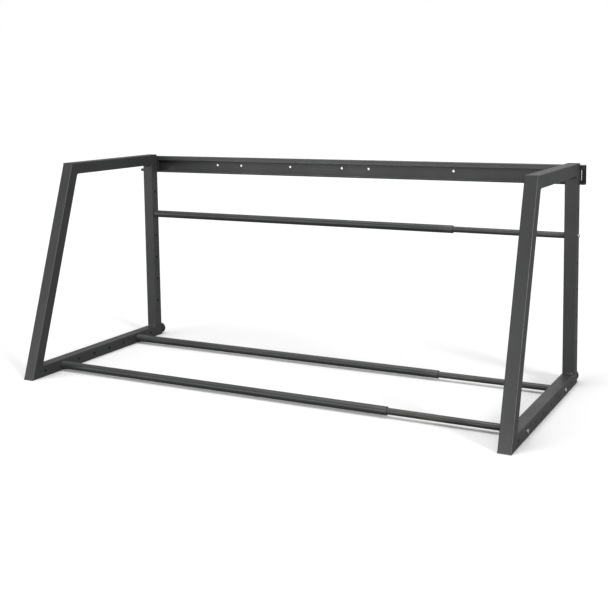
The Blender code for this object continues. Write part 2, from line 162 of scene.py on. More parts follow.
class Surface:
    """A Principled material and short ways to add nodes to it."""

    def __init__(self, name, colour, roughness, metallic=0.0, specular=0.5):
        self.material = bpy.data.materials.new(name)
        self.material.use_nodes = True
        self.tree = self.material.node_tree
        self.shader = self.tree.nodes["Principled BSDF"]
        self.shader.inputs["Base Color"].default_value = (*colour, 1.0)
        self.shader.inputs["Roughness"].default_value = roughness
        self.shader.inputs["Metallic"].default_value = metallic
        self.shader.inputs["Specular IOR Level"].default_value = specular
        self.place = self.tree.nodes.new("ShaderNodeTexCoord").outputs["Object"]

    def link(self, source, target):
        self.tree.links.new(source, target)

    def stretched(self, scale):
        """Object coordinates scaled along each axis."""
        node = self.tree.nodes.new("ShaderNodeMapping")
        node.inputs["Scale"].default_value = scale
        self.link(self.place, node.inputs["Vector"])
        return node.outputs["Vector"]

    def noise(self, scale, detail, rough, place=None):
        """Noise from 0 to 1, its scale in waves per metre."""
        node = self.tree.nodes.new("ShaderNodeTexNoise")
        node.inputs["Scale"].default_value = scale
        node.inputs["Detail"].default_value = detail
        node.inputs["Roughness"].default_value = rough
        self.link(place or self.place, node.inputs["Vector"])
        return node.outputs["Fac"]

    def cells(self, scale):
        """Distance to the nearest of many scattered points, as small pits."""
        node = self.tree.nodes.new("ShaderNodeTexVoronoi")
        node.inputs["Scale"].default_value = scale
        self.link(self.place, node.inputs["Vector"])
        return node.outputs["Distance"]

    def spread(self, value, low, high, new_low=0.0, new_high=1.0):
        """Map a range of a value to another range, clamped."""
        node = self.tree.nodes.new("ShaderNodeMapRange")
        for socket, number in zip(node.inputs[1:5], (low, high, new_low, new_high)):
            socket.default_value = number
        self.link(value, node.inputs["Value"])
        return node.outputs["Result"]

    def math(self, kind, first, second):
        """Combine two values; each is a number or a socket."""
        node = self.tree.nodes.new("ShaderNodeMath")
        node.operation = kind
        for socket, item in zip(node.inputs, (first, second)):
            if isinstance(item, (int, float)):
                socket.default_value = item
            else:
                self.link(item, socket)
        return node.outputs["Value"]

    def blend(self, share, first, second):
        """Mix two colours; each is a colour or a socket."""
        node = self.tree.nodes.new("ShaderNodeMix")
        node.data_type = "RGBA"
        self.link(share, node.inputs["Factor"])
        for socket, item in zip((node.inputs[6], node.inputs[7]), (first, second)):
            if isinstance(item, tuple):
                socket.default_value = (*item, 1.0)
            else:
                self.link(item, socket)
        return node.outputs[2]

    def attribute(self, name):
        """A number stored on the mesh; 0 where it has none."""
        node = self.tree.nodes.new("ShaderNodeAttribute")
        node.attribute_name = name
        return node.outputs["Fac"]

    def facing_up(self):
        """How far the surface faces upwards, 0 to 1."""
        normal = self.tree.nodes.new("ShaderNodeNewGeometry").outputs["Normal"]
        split = self.tree.nodes.new("ShaderNodeSeparateXYZ")
        self.link(normal, split.inputs["Vector"])
        return self.spread(split.outputs["Z"], 0.5, 1.0)

    def colour(self, socket):
        self.link(socket, self.shader.inputs["Base Color"])

    def roughness(self, socket):
        self.link(socket, self.shader.inputs["Roughness"])

    def bump(self, layers):
        """Stack bump layers, each (height socket, strength, distance)."""
        normal = None
        for height, strength, distance in layers:
            node = self.tree.nodes.new("ShaderNodeBump")
            node.inputs["Strength"].default_value = strength
            node.inputs["Distance"].default_value = distance
            self.link(height, node.inputs["Height"])
            if normal:
                self.link(normal, node.inputs["Normal"])
            normal = node.outputs["Normal"]
        self.link(normal, self.shader.inputs["Normal"])


def powder_coat(name, dark, light, scuffed=False):
    """Satin powder coat: orange peel, fine grain, handling marks and smooth corners, the corners
    lightened partly by abrasion and partly by a painted highlight.
    """
    coat = Surface(name, dark, 0.5, specular=0.48)
    broad = coat.noise(5.0, 3.0, 0.6)
    colour = coat.blend(coat.spread(broad, 0.35, 0.65), dark, light)
    grain = coat.noise(1900.0, 2.0, 0.6)
    speck = tuple(1.35 * part for part in light)
    colour = coat.blend(coat.spread(grain, 0.50, 0.80, 0.0, 0.35), colour, speck)
    grime = coat.noise(17.0, 4.0, 0.62)
    colour = coat.blend(coat.spread(grime, 0.54, 0.74, 0.0, 0.45), colour, COAT_GRIME)
    # Corners lightened in patches: partly abrasion, partly a painted highlight along the rounded edges
    abrasion_highlight_patches = coat.noise(130.0, 5.0, 0.7)
    corner = coat.attribute("edge")
    abraded_and_highlit = coat.math("MULTIPLY", corner, coat.spread(abrasion_highlight_patches, 0.36, 0.70))
    colour = coat.blend(coat.math("MULTIPLY", abraded_and_highlit, 0.50), colour, COAT_ABRADED_AND_HIGHLIGHT)
    dust = coat.math("MULTIPLY", coat.facing_up(), coat.spread(broad, 0.40, 0.75, 0.03, 0.14))
    colour = coat.blend(dust, colour, COAT_DUST)
    marks = coat.noise(26.0, 5.0, 0.7, coat.stretched((1.0, 0.35, 0.35)))
    rough = coat.spread(marks, 0.30, 0.70, 0.34, 0.45)
    rough = coat.math("SUBTRACT", rough, coat.math("MULTIPLY", corner, 0.14))
    if scuffed:
        lines = coat.noise(60.0, 4.0, 0.65, coat.stretched((0.12, 9.0, 9.0)))
        patches = coat.spread(coat.noise(14.0, 2.0, 0.5), 0.42, 0.62)
        scuffs = coat.math("MULTIPLY", coat.spread(lines, 0.50, 0.68), patches)
        colour = coat.blend(coat.math("MULTIPLY", scuffs, 0.6), colour, COAT_SCUFF)
        rough = coat.math("SUBTRACT", rough, coat.math("MULTIPLY", scuffs, 0.10))
    # The bore and the hole walls are painted near black towards BORE_SHADE: painted shade.
    inside = coat.attribute("inside")
    coat.colour(coat.blend(inside, colour, BORE_SHADE))
    coat.roughness(coat.math("ADD", rough, coat.math("MULTIPLY", inside, 0.3)))
    calm = coat.math("SUBTRACT", 1.0, coat.math("MULTIPLY", corner, 0.7))
    peel = coat.math("MULTIPLY", coat.noise(520.0, 1.0, 0.4), calm)
    coat.bump([(peel, 0.30, 0.00025), (coat.math("MULTIPLY", grain, calm), 0.22, 0.00010)])
    return coat.material


def plated_steel(name, dark, light, low, high):
    """Plated or oiled steel: cloudy plating, fine turning marks and a little tarnish."""
    metal = Surface(name, dark, 0.4, metallic=1.0)
    clouds = metal.noise(420.0, 3.0, 0.6)
    colour = metal.blend(metal.spread(clouds, 0.30, 0.70), dark, light)
    tarnish = metal.noise(1300.0, 2.0, 0.6)
    brown = tuple(part * shade for part, shade in zip(dark, (0.66, 0.58, 0.48)))
    colour = metal.blend(metal.spread(tarnish, 0.58, 0.76, 0.0, 0.5), colour, brown)
    metal.colour(colour)
    metal.roughness(metal.spread(clouds, 0.25, 0.75, low, high))
    lines = metal.noise(2200.0, 2.0, 0.5)
    metal.bump([(lines, 0.25, 0.00006)])
    return metal.material


def moulded_plastic(name):
    """Black moulded plastic with spark-eroded grain and a few handling marks."""
    plastic = Surface(name, PLASTIC_DARK, 0.5, specular=0.22)
    broad = plastic.noise(60.0, 3.0, 0.6)
    plastic.colour(plastic.blend(plastic.spread(broad, 0.35, 0.68), PLASTIC_DARK, PLASTIC_LIGHT))
    plastic.roughness(plastic.spread(broad, 0.30, 0.70, 0.55, 0.70))
    plastic.bump([(plastic.cells(1500.0), 0.28, 0.00012)])
    return plastic.material


def moulded_rubber(name):
    """Black rubber with a dull grey bloom and a fine dimpled skin."""
    rubber = Surface(name, RUBBER_DARK, 0.78, specular=0.40)
    bloom = rubber.noise(90.0, 4.0, 0.65)
    rubber.colour(rubber.blend(rubber.spread(bloom, 0.42, 0.72), RUBBER_DARK, RUBBER_BLOOM))
    rubber.roughness(rubber.spread(bloom, 0.30, 0.70, 0.70, 0.88))
    rubber.bump([(rubber.noise(1100.0, 2.0, 0.6), 0.30, 0.00012)])
    return rubber.material


COAT = powder_coat("powder_coat", (0.028, 0.029, 0.030), (0.035, 0.036, 0.037))
SCUFFED_COAT = powder_coat(
    "powder_coat_sliding", (0.029, 0.029, 0.029), (0.039, 0.038, 0.037), scuffed=True)
HOOK_PAINT = powder_coat("hook_paint", (0.016, 0.016, 0.017), (0.021, 0.021, 0.022))
BLACK_STEEL = plated_steel("black_steel", (0.045, 0.045, 0.047), (0.070, 0.070, 0.074), 0.34, 0.50)
ZINC = plated_steel("zinc_plate", (0.30, 0.285, 0.265), (0.46, 0.44, 0.41), 0.46, 0.60)
PLASTIC = moulded_plastic("black_plastic")
RUBBER = moulded_rubber("black_rubber")


# ---------------------------------------------------------------- mesh helpers

def add_piece(name, mesh, body, material, nodes=()):
    """Put a finished mesh in the scene, on its body, in place of its CAD nodes."""
    piece = bpy.data.objects.new(name, mesh)
    bpy.context.scene.collection.objects.link(piece)
    mesh.materials.clear()
    mesh.materials.append(material)
    normals = piece.modifiers.new("flat_faces", "WEIGHTED_NORMAL")
    normals.keep_sharp = True
    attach(piece, body)
    if nodes:
        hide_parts(*nodes)


def finished_mesh(name, shape, sharp_angle=40):
    """Close a bmesh into a mesh with smooth shading and sharp hard edges."""
    bmesh.ops.recalc_face_normals(shape, faces=shape.faces)
    mesh = bpy.data.meshes.new(name)
    shape.to_mesh(mesh)
    shape.free()
    mesh.shade_smooth()
    mesh.set_sharp_from_angle(angle=radians(sharp_angle))
    return mesh


def skin_loops(shape, loops, closed=False, caps=False):
    """Faces between loops that all have the same number of points."""
    rows = [[shape.verts.new(point) for point in loop] for loop in loops]
    pairs = list(zip(rows, rows[1:]))
    if closed:
        pairs.append((rows[-1], rows[0]))
    for first, second in pairs:
        for index in range(len(first)):
            after = (index + 1) % len(first)
            shape.faces.new((first[index], first[after], second[after], second[index]))
    if caps:
        shape.faces.new(rows[0])
        shape.faces.new(rows[-1])


def turn_profile(shape, origin, axis, profile, sides, closed=False):
    """A turned shape from (distance along the axis, radius) points; radius 0 is a point."""
    turn = axis.to_track_quat("Z", "Y")
    rows = []
    for distance, radius in profile:
        if radius == 0:
            rows.append([shape.verts.new(origin + axis * distance)])
            continue
        row = []
        for step in range(sides):
            angle = 2 * pi * step / sides
            spoke = turn @ Vector((radius * cos(angle), radius * sin(angle), distance))
            row.append(shape.verts.new(origin + spoke))
        rows.append(row)
    pairs = list(zip(rows, rows[1:]))
    if closed:
        pairs.append((rows[-1], rows[0]))
    for first, second in pairs:
        for step in range(sides):
            after = (step + 1) % sides
            if len(first) == 1:
                shape.faces.new((first[0], second[after], second[step]))
            elif len(second) == 1:
                shape.faces.new((first[step], first[after], second[0]))
            else:
                shape.faces.new((first[step], first[after], second[after], second[step]))


def cut_away(mesh, tool_mesh):
    """The mesh with a tool's shape cut out of it."""
    piece = bpy.data.objects.new("cut_piece", mesh)
    tool = bpy.data.objects.new("cut_tool", tool_mesh)
    for item in (piece, tool):
        bpy.context.scene.collection.objects.link(item)
    step = piece.modifiers.new("cut", "BOOLEAN")
    step.solver = "EXACT"
    step.object = tool
    evaluated = piece.evaluated_get(bpy.context.evaluated_depsgraph_get())
    result = bpy.data.meshes.new_from_object(evaluated)
    for item in (piece, tool):
        bpy.data.objects.remove(item, do_unlink=True)
    return result


def pin_tool(places, axis, radius, length):
    """Round pins through each place, to cut holes with."""
    shape = bmesh.new()
    profile = [(-length / 2, 0), (-length / 2, radius), (length / 2, radius), (length / 2, 0)]
    for place in places:
        turn_profile(shape, Vector(place), axis, profile, HOLE_SIDES)
    return finished_mesh("pins", shape)


def opened(mesh, merge=CUT_MERGE):
    """A bmesh of a mesh, with the vertices that a cut leaves in one place merged."""
    shape = bmesh.new()
    shape.from_mesh(mesh)
    bmesh.ops.remove_doubles(shape, verts=shape.verts, dist=merge)
    return shape


def drill(mesh, places, radius, faces_at):
    """Drill holes along X and round their rims where they meet the outer faces."""
    shape = opened(cut_away(mesh, pin_tool(places, X_AXIS, radius, 0.2)))

    def on_rim(corner):
        if not any(abs(corner.co.x - level) < 0.00002 for level in faces_at):
            return False
        for place in places:
            if abs((corner.co - Vector(place)).yz.length - radius) < 0.00003:
                return True
        return False

    rim = [edge for edge in shape.edges if on_rim(edge.verts[0]) and on_rim(edge.verts[1])]
    rim = [edge for edge in rim if edge.calc_length() < 0.5 * radius]
    bmesh.ops.bevel(shape, geom=rim, offset=RIM_ROUNDING, segments=2, profile=0.5, affect="EDGES")
    return shape


def mark(mesh, name, strength):
    """Store a number for each vertex, from a function of its place.

    "edge" is how exposed it is to abrasion and how much painted highlight it takes, "inside" how far
    it is down a bore, whose coat is painted dark as shade.
    """
    attribute = mesh.attributes.new(name, "FLOAT", "POINT")
    attribute.data.foreach_set("value", [strength(corner.co) for corner in mesh.vertices])


# ---------------------------------------------------------------- square tube

def square_loop(half, radius, steps=6):
    """Points round a rounded square about its middle, as (across, inward)."""
    points = []
    for quarter, (side, level) in enumerate(((1, 1), (-1, 1), (-1, -1), (1, -1))):
        for step in range(steps + 1):
            angle = radians(90 * (quarter + step / steps))
            across = side * (half - radius) + radius * cos(angle)
            inward = level * (half - radius) + radius * sin(angle)
            points.append((across, inward))
    return points


class EndFrame:
    """The places of one end frame, read from its CAD nodes.

    Its corners are (Y, Z) points on the outside of the leaning upright and on its inside.
    """

    def __init__(self, side):
        self.side = side
        self.body = side + "_frame"
        base_low, base_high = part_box(side + "_bottom_rail")
        top_low, top_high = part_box(side + "_top_rail")
        upright_low, upright_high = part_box(side + "_rear_upright")
        self.x = (base_low.x + base_high.x) / 2
        self.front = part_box(side + "_front_upright")[0].y
        self.shoulder_y = top_low.y
        self.height = top_high.z
        self.back = upright_high.y
        self.upright_front = upright_low.y
        self.upright_middle = (upright_low.y + upright_high.y) / 2
        self.base_end = base_high.y
        self.upright_end = upright_high.z
        lean = self.shoulder_y - self.front
        self.slope = lean / self.height
        level_width = TUBE * hypot(lean, self.height) / self.height
        self.foot = Vector((self.front, 0))
        self.foot_inside = Vector((self.front + self.slope * TUBE + level_width, TUBE))
        self.shoulder = Vector((self.shoulder_y, self.height))
        inside_y = self.front + self.slope * (self.height - TUBE) + level_width
        self.shoulder_inside = Vector((inside_y, self.height - TUBE))


def tube_mesh(name, end_frame, corners, holes=(), dressed=(False, False)):
    """A square tube from its side outline, with cut, drilled and rounded edges.

    A dressed end is welded and ground, which fills its rounded corners.
    """
    outer_start, outer_end, inner_end, inner_start = corners
    along = (outer_end - outer_start).normalized()
    half = TUBE / 2

    def loop(half_width, radius, at_end, inset):
        """One loop of points on an end's cut plane, moved in along the tube."""
        outer, inner = (outer_end, inner_end) if at_end else (outer_start, inner_start)
        shift = along * (-inset if at_end else inset)
        points = []
        for across, inward in square_loop(half_width, radius):
            place = outer.lerp(inner, (inward + half) / TUBE) + shift
            points.append((end_frame.x + across, place.x, place.y))
        return points

    bore = half - TUBE_WALL
    face = half - CUT_CHAMFER

    def skin_near(at_end):
        """The outer loops from a tube's cut end to its full corner radius."""
        if not dressed[at_end]:
            return [
                loop(face, CORNER_RADIUS - CUT_CHAMFER, at_end, 0),
                loop(half, CORNER_RADIUS, at_end, CUT_CHAMFER)]
        loops = [loop(face, MITRE_CORNER - CUT_CHAMFER, at_end, 0)]
        for step in range(6):
            share = step / 5
            eased = share * share * (3 - 2 * share)
            radius = MITRE_CORNER + (CORNER_RADIUS - MITRE_CORNER) * eased
            loops.append(loop(half, radius, at_end, CUT_CHAMFER + MITRE_BLEND * share))
        return loops

    shape = bmesh.new()
    skin_loops(shape, [
        *skin_near(False), *reversed(skin_near(True)),
        loop(bore, BORE_CORNER, True, 0), loop(bore, BORE_CORNER, False, 0),
    ], closed=True)
    if holes:
        blank = finished_mesh(name + "_blank", shape)
        places = [(end_frame.x, depth, height) for depth, height in holes]
        shape = drill(blank, places, HOLE_RADIUS, (end_frame.x - half, end_frame.x + half))
    mesh = finished_mesh(name, shape)
    inward_way = inner_start - outer_start
    inward_way = (inward_way - along * inward_way.dot(along)).normalized()

    def gaps(place):
        """How deep a place lies under the tube's sides, and under its other two faces."""
        level = (Vector((place.y, place.z)) - outer_start).dot(inward_way)
        return half - abs(place.x - end_frame.x), min(level, TUBE - level)

    def wear_and_highlight(place):
        """Most on the outside of the tube's long corners."""
        side_gap, level_gap = gaps(place)
        if side_gap > CORNER_RADIUS or level_gap > CORNER_RADIUS:
            return 0.0
        return max(0.0, 1.0 - abs(side_gap - level_gap) / CORNER_RADIUS)

    def hollow(place):
        """One in the tube's bore and in the holes through its walls, where the coat is painted near
        black as shade.
        """
        return 1.0 if min(gaps(place)) > RIM_ROUNDING + 0.0001 else 0.0

    mark(mesh, "edge", wear_and_highlight)
    mark(mesh, "inside", hollow)
    return mesh


def build_tubes(end_frame):
    """The four square tubes of one end frame."""
    lean_angle = atan2(end_frame.height, end_frame.shoulder_y - end_frame.front)
    along = (end_frame.shoulder - end_frame.foot).normalized()
    foot_gap = SEAM / 2 / sin(lean_angle / 2)
    shoulder_gap = SEAM / 2 / cos(lean_angle / 2)
    side = end_frame.side

    def place(name, corners, dressed, holes=()):
        mesh = tube_mesh(side + name, end_frame, corners, holes, dressed)
        add_piece(side + name + "_coated", mesh, end_frame.body, COAT, [side + name])

    shift = Vector((foot_gap, 0))
    first_hole = end_frame.front + BASE_FIRST_HOLE
    base_holes = [(first_hole + step * HOLE_PITCH, TUBE / 2) for step in range(BASE_HOLES)]
    place("_bottom_rail", (
        end_frame.foot + shift,
        Vector((end_frame.base_end, 0)),
        Vector((end_frame.base_end, TUBE)),
        end_frame.foot_inside + shift,
    ), (True, False), base_holes)
    place("_front_upright", (
        end_frame.foot + along * foot_gap,
        end_frame.shoulder - along * shoulder_gap,
        end_frame.shoulder_inside - along * shoulder_gap,
        end_frame.foot_inside + along * foot_gap,
    ), (True, True))
    shift = Vector((shoulder_gap, 0))
    top_end = end_frame.upright_front - SEAM
    place("_top_rail", (
        end_frame.shoulder + shift,
        Vector((top_end, end_frame.height)),
        Vector((top_end, end_frame.height - TUBE)),
        end_frame.shoulder_inside + shift,
    ), (True, False))
    upright_holes = [
        (end_frame.upright_middle, UPRIGHT_FIRST_HOLE + step * HOLE_PITCH)
        for step in range(UPRIGHT_HOLES)]
    place("_rear_upright", (
        Vector((end_frame.back, TUBE + SEAM)),
        Vector((end_frame.back, end_frame.upright_end)),
        Vector((end_frame.upright_front, end_frame.upright_end)),
        Vector((end_frame.upright_front, TUBE + SEAM)),
    ), (False, False), upright_holes)


# ---------------------------------------------------------------- welds

def weld_bead(shape, start, end, first_way, second_way, out, leg, bulge, seed):
    """A rippled bead from start to end that spans two faces and bulges outwards."""
    run = end - start
    length = run.length
    along = run / length
    steps = int(length / BEAD_STEP)
    loops = []
    for step in range(steps + 1):
        travel = length * step / steps
        near_end = min(travel, length - travel)
        taper = sqrt(min(1.0, (near_end + 0.0002) / (1.2 * leg)))
        drift = noise.noise(Vector((travel * 140, seed, 0.3)))
        loop = []
        for spot in range(BEAD_POINTS + 1):
            share = spot / BEAD_POINTS
            crown = 4 * share * (1 - share)
            ripple = sin(2 * pi * (travel - BEAD_LAG * (1 - crown)) / BEAD_RIPPLE + 0.8 * drift)
            height = bulge * crown * (1 + 0.16 * ripple + 0.18 * drift)
            reach = leg * (1 + 0.10 * drift + 0.05 * ripple)
            spread = first_way * (1 - share) * reach + second_way * share * reach
            loop.append(start + along * travel + (spread + out * height) * taper)
        loop.append(start + along * travel - out * BEAD_ROOT * taper)
        loops.append(loop)
    skin_loops(shape, loops, caps=True)


def build_welds(end_frame):
    """Fillets in the inner corners and low dressed seams on the flat sides.

    Each bead has its own seed, so no two ripple alike.
    """
    shape = bmesh.new()
    half = TUBE / 2 - CORNER_RADIUS
    left, right = end_frame.x - half, end_frame.x + half
    forward, rear, up, down = -Y_AXIS, Y_AXIS, Z_AXIS, -Z_AXIS
    lean = Vector((0, end_frame.slope, 1)).normalized()
    seed = 1.7 if end_frame.side == "left" else 5.3

    def fillet(place, first_way, second_way, leg):
        """A fillet across the tube, in the angle between two faces."""
        nonlocal seed
        start = Vector((left, place.x, place.y))
        end = Vector((right, place.x, place.y))
        out = (first_way + second_way).normalized()
        weld_bead(shape, start, end, first_way, second_way, out, leg, FILLET_BULGE * leg, seed)
        seed += 3.1

    upright_foot = Vector((end_frame.upright_front, TUBE))
    upright_head = Vector((end_frame.upright_front, end_frame.height - TUBE))
    fillet(upright_foot, forward, up, UPRIGHT_FOOT_FILLET)
    fillet(upright_head, down, forward, UPRIGHT_HEAD_FILLET)
    fillet(end_frame.foot_inside, lean, rear, FOOT_FILLET)
    fillet(end_frame.shoulder_inside, -lean, rear, SHOULDER_FILLET)

    def seam(first, second, height):
        """A bead ground nearly flush along a joint, on both sides of the tube."""
        nonlocal seed
        line = (second - first).normalized()
        margin = line * CORNER_RADIUS
        across = Vector((0, -line.y, line.x))
        for way in (-1, 1):
            x = end_frame.x + way * TUBE / 2
            start = Vector((x, *(first + margin)))
            end = Vector((x, *(second - margin)))
            weld_bead(shape, start, end, across, -across, X_AXIS * way, SEAM_LEG, height, seed)
            seed += 3.1

    seam(upright_foot, Vector((end_frame.back, TUBE)), SEAM_HEIGHT)
    seam(upright_head, Vector((end_frame.upright_front, end_frame.height)), SEAM_HEIGHT)
    seam(end_frame.foot, end_frame.foot_inside, MITRE_SEAM_HEIGHT)
    seam(end_frame.shoulder_inside, end_frame.shoulder, MITRE_SEAM_HEIGHT)
    mesh = finished_mesh(end_frame.side + "_welds", shape, 75)
    mark(mesh, "edge", lambda place: 0.15)
    add_piece(end_frame.side + "_welds", mesh, end_frame.body, COAT)


# ---------------------------------------------------------------- round tubes and fasteners

def build_round_tube(node, body, bore, material, rounding):
    """A telescopic tube with rounded ends."""
    low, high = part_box(node)
    radius = (high.z - low.z) / 2
    origin = Vector((low.x, (low.y + high.y) / 2, (low.z + high.z) / 2))
    length = high.x - low.x
    slight = 0.3 * rounding
    profile = [(rounding, radius)]
    for bay in range(1, TUBE_BAYS):
        profile.append((rounding + (length - 2 * rounding) * bay / TUBE_BAYS, radius))
    profile += [(length - rounding, radius), (length - slight, radius - slight)]
    profile += [(length, radius - rounding), (length, bore + BORE_BREAK), (length - BORE_BREAK, bore)]
    profile += [(BORE_BREAK, bore), (0, bore + BORE_BREAK), (0, radius - rounding)]
    profile += [(slight, radius - slight)]
    shape = bmesh.new()
    turn_profile(shape, origin, X_AXIS, profile, TUBE_SIDES, closed=True)
    mesh = finished_mesh(node, shape, 50)

    def wear_and_highlight(place):
        """Only round the tube's ends."""
        near_end = min(place.x - low.x, high.x - place.x)
        return max(0.0, 1.0 - near_end / 0.002)

    mark(mesh, "edge", wear_and_highlight)
    add_piece(node + "_smooth", mesh, body, material, [node])


def dome_head(radius, height):
    """Half the outline of a domed head above its seat, out from the shank."""
    flat = DOME_FLAT * radius
    outline = [(0, radius - SEAT_BREAK), (0.00035, radius)]
    for step in range(1, 9):
        angle = radians(90 * step / 8)
        rise = DOME_EDGE + (height - DOME_EDGE) * sin(angle)
        outline.append((rise, flat + (radius - flat) * cos(angle)))
    return outline


def tall_head(radius, height):
    """Half the outline of a straight-sided head with a turned upper edge."""
    turned = TALL_HEAD_ROUNDING
    outline = [(0, radius - SEAT_BREAK), (SEAT_BREAK, radius), (height - turned, radius)]
    for step in range(1, 6):
        angle = radians(90 * step / 5)
        outline.append((height - turned + turned * sin(angle), radius - turned + turned * cos(angle)))
    outline.append((height, SOCKET_RADIUS + 0.0008))
    return outline


def build_bolt(node, body, axis, material, shank_radius, head, head_height):
    """A threaded bolt with a hexagon socket, its head at the axis's far end."""
    low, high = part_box(node)
    middle = (low + high) / 2
    length = abs((high - low).dot(axis))
    seat = middle + axis * (length / 2 - head_height)
    shank = length - head_height
    profile = [(-shank, 0), (-shank, shank_radius - SHANK_POINT), (-shank + SHANK_POINT, shank_radius)]
    turns = int((shank - 0.006) / THREAD_PITCH)
    for turn in range(turns):
        base = -shank + 0.0008 + turn * THREAD_PITCH
        profile += [(base, shank_radius), (base + 0.5 * THREAD_PITCH, shank_radius - THREAD_DEPTH)]
    profile += [(-SHANK_NECK, shank_radius), (0, shank_radius)]
    profile += head((high.z - low.z) / 2, head_height)
    profile.append((head_height, 0))
    shape = bmesh.new()
    turn_profile(shape, seat, axis, profile, BOLT_SIDES)
    blank = finished_mesh(node + "_blank", shape)
    tool = bmesh.new()
    socket = [(-SOCKET_DEPTH, 0), (-SOCKET_DEPTH, SOCKET_RADIUS), (0.002, SOCKET_RADIUS), (0.002, 0)]
    turn_profile(tool, seat + axis * head_height, axis, socket, 6)
    mesh = cut_away(blank, finished_mesh(node + "_socket", tool))
    mesh.shade_smooth()
    mesh.set_sharp_from_angle(angle=radians(38))
    add_piece(node + "_turned", mesh, body, material, [node])


# ---------------------------------------------------------------- caps, buffers, hook blocks

def build_cap(node, body, outward, hole_radius=0.0):
    """A plastic insert: crowned flange, soft edges and a hollow skirt inside the tube."""
    low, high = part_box(node)
    middle = (low + high) / 2
    depth = abs((high - low).dot(outward))
    outer = middle + outward * depth / 2
    half = (high.x - low.x) / 2
    second = Z_AXIS if outward.y else Y_AXIS
    skirt = half - TUBE_WALL - CAP_CLEARANCE
    hollow = skirt - CAP_SKIRT_WALL
    floor_depth = 0.3 * depth

    def placed(outline, drop):
        """An outline set on the cap, a drop below its crown."""
        return [outer + X_AXIS * across + second * up - outward * drop for across, up in outline]

    def loop(half_width, radius, drop):
        return placed(square_loop(half_width, radius), drop)

    def set_in(inset, drop):
        """A loop of the flange, drawn in from its full outline."""
        return loop(half - inset, CORNER_RADIUS - inset, drop)

    loops = []
    if hole_radius:
        turns = [atan2(up, across) for across, up in square_loop(half, 0.4 * half)]
        ring = [(hole_radius * cos(turn), hole_radius * sin(turn)) for turn in turns]
        loops += [placed(ring, floor_depth), placed(ring, 0.0)]
    loops += [loop(0.35 * half, 0.1 * half, 0.0), loop(0.72 * half, 0.2 * half, 0.00012)]
    loops += [set_in(0.0012, 0.0003), set_in(0.0004, 0.0007), set_in(0.0, 0.0013)]
    loops += [set_in(0.0, CAP_FLANGE - 0.0002), set_in(0.0002, CAP_FLANGE)]
    loops += [loop(skirt, BORE_CORNER, CAP_FLANGE), loop(skirt - 0.0002, BORE_CORNER, depth - 0.001)]
    loops += [loop(skirt - 0.0008, BORE_CORNER - 0.0004, depth)]
    loops += [loop(hollow, 0.0010, depth), loop(hollow, 0.0010, floor_depth)]
    shape = bmesh.new()
    skin_loops(shape, loops, closed=bool(hole_radius), caps=not hole_radius)
    mesh = finished_mesh(node, shape, 50)
    add_piece(node + "_moulded", mesh, body, PLASTIC, [node])


def build_buffer(node, body):
    """A round rubber buffer: soft rim, a mould parting line, stepped bore, ringed face."""
    low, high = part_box(node)
    radius = (high.x - low.x) / 2
    origin = Vector(((low.x + high.x) / 2, low.y, (low.z + high.z) / 2))
    length = high.y - low.y
    rim, groove, recess = BUFFER_RIM, BUFFER_GROOVE, BUFFER_RECESS
    recess_floor = length - BUFFER_RECESS_DEPTH
    profile = [(0.0006, radius - 0.0002), (0.0012, radius)]
    split = BUFFER_PARTING * length
    for offset, sunk in ((-0.0007, 0.0), (-0.0003, 0.0004), (0.0003, 0.0004), (0.0007, 0.0)):
        profile.append((split + offset, radius - sunk))
    profile.append((length - rim, radius))
    for step in range(1, 8):
        angle = radians(90 * step / 8)
        profile.append((length - rim + rim * sin(angle), radius - rim + rim * cos(angle)))
    profile.append((length, radius - rim))
    for ring in BUFFER_RINGS:
        profile += [(length, ring + groove), (length - 0.0004, ring), (length, ring - groove)]
    profile += [(length, recess + groove), (length - groove, recess), (recess_floor, recess)]
    profile += [(recess_floor, SCREW_CLEARANCE), (0, SCREW_CLEARANCE), (0, radius - 0.0010)]
    shape = bmesh.new()
    turn_profile(shape, origin, Y_AXIS, profile, BUFFER_SIDES, closed=True)
    mesh = finished_mesh(node, shape, 45)
    add_piece(node + "_moulded", mesh, body, RUBBER, [node])


def softened_copy(node, body, material, rounding, suffix):
    """A CAD shape with its flat faces cleaned and its hard edges rounded."""
    shape = opened(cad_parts[node].data, CAD_MERGE)
    bmesh.ops.dissolve_limit(
        shape, angle_limit=radians(1), verts=shape.verts, edges=shape.edges, delimit=set())
    hard = [edge for edge in shape.edges if edge.calc_face_angle(0) > radians(40)]
    bmesh.ops.bevel(
        shape, geom=hard, offset=rounding, segments=2, profile=0.5, affect="EDGES",
        clamp_overlap=True)
    mesh = finished_mesh(node, shape, 50)
    mark(mesh, "edge", lambda place: 0.3)
    add_piece(node + suffix, mesh, body, material, [node])


# ---------------------------------------------------------------- wall rail

def arc_corner(points, corner, before, after, radius, steps=7):
    """Add the arc that rounds a corner between two neighbours."""
    here = Vector(corner)
    first = (Vector(before) - here).normalized()
    second = (Vector(after) - here).normalized()
    half = first.angle(second) / 2
    reach = radius / (sin(half) / cos(half))
    centre = here + (first + second).normalized() * (radius / sin(half))
    start = here + first * reach - centre
    end = here + second * reach - centre
    turn = start.angle_signed(end)
    for step in range(steps + 1):
        angle = atan2(start.y, start.x) - turn * step / steps
        points.append((centre.x + radius * cos(angle), centre.y + radius * sin(angle)))


def slot_tool(middle):
    """Upright round-ended slots near both ends of the rail, to cut it with."""
    shape = bmesh.new()
    radius = RAIL_SLOT_WIDTH / 2
    straight = RAIL_SLOT_HEIGHT / 2 - radius
    steps = 12
    for way in (-1, 1):
        outline = []
        for end, level in enumerate((straight, -straight)):
            for step in range(steps + 1):
                turn = pi * step / steps + pi * end
                x = middle.x + way * RAIL_SLOT_X + radius * cos(turn)
                outline.append((x, level + radius * sin(turn)))
        skin_loops(shape, [
            [(x, middle.y + depth, middle.z + level) for x, level in outline]
            for depth in (-2 * RAIL_SHEET, 2 * RAIL_SHEET)
        ], caps=True)
    return finished_mesh("slots", shape)


